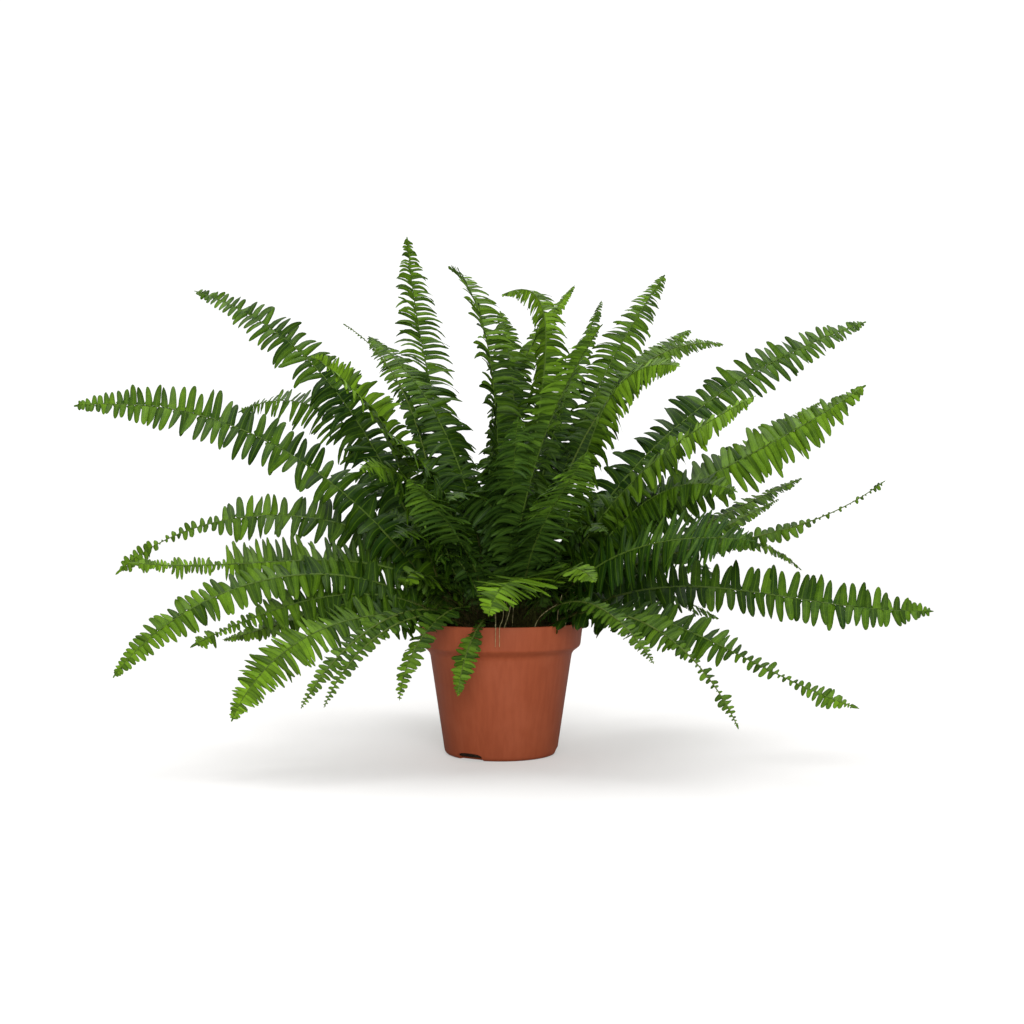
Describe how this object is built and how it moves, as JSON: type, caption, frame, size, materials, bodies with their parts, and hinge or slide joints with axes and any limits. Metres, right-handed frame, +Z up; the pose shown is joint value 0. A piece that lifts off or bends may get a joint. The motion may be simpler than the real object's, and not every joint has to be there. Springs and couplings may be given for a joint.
{
  "type": "potted fern",
  "caption": "Sword fern with arching, feathered fronds growing from soil in a round terracotta-coloured nursery pot.",
  "frame": {"origin": "middle of the pot's flat underside, on the surface that it stands on", "axes": "+Z up along the pot's axis, -Y towards the front of the plant, +X to its right, its widest way"},
  "size_m": [0.6904, 0.532, 0.4751],
  "materials": {
    "pot_plastic": "matte",
    "potting_soil": "matte",
    "frond": "satin",
    "young_frond": "satin"
  },
  "bodies": {
    "root": {"pot": "pot_plastic", "soil": "potting_soil", "frond_01": "young_frond", "frond_02": "frond", "frond_03": "frond", "frond_04": "frond", "frond_05": "frond", "frond_06": "frond", "frond_07": "frond", "frond_08": "frond", "frond_09": "young_frond", "frond_10": "frond", "frond_11": "frond", "frond_12": "young_frond", "frond_13": "young_frond", "frond_14": "frond", "frond_15": "frond", "frond_16": "frond", "frond_17": "frond", "frond_18": "frond", "frond_19": "frond", "frond_20": "frond", "frond_21": "frond", "frond_22": "frond", "frond_23": "frond", "frond_24": "young_frond", "frond_25": "frond", "frond_26": "frond", "frond_27": "young_frond", "frond_28": "frond", "frond_29": "frond", "frond_30": "young_frond", "frond_31": "young_frond", "frond_32": "young_frond", "frond_33": "frond", "frond_34": "frond", "frond_35": "young_frond", "frond_36": "frond", "frond_37": "young_frond", "frond_38": "young_frond", "frond_39": "frond", "frond_40": "frond", "frond_41": "frond", "frond_42": "young_frond", "frond_43": "young_frond", "frond_44": "frond", "frond_45": "frond", "frond_46": "frond", "frond_47": "young_frond", "frond_48": "frond", "frond_49": "frond", "frond_50": "frond", "frond_51": "frond", "frond_52": "frond", "frond_53": "frond", "frond_54": "frond", "frond_55": "frond", "frond_56": "frond", "frond_57": "frond", "frond_58": "frond"}
  },
  "joints": []
}
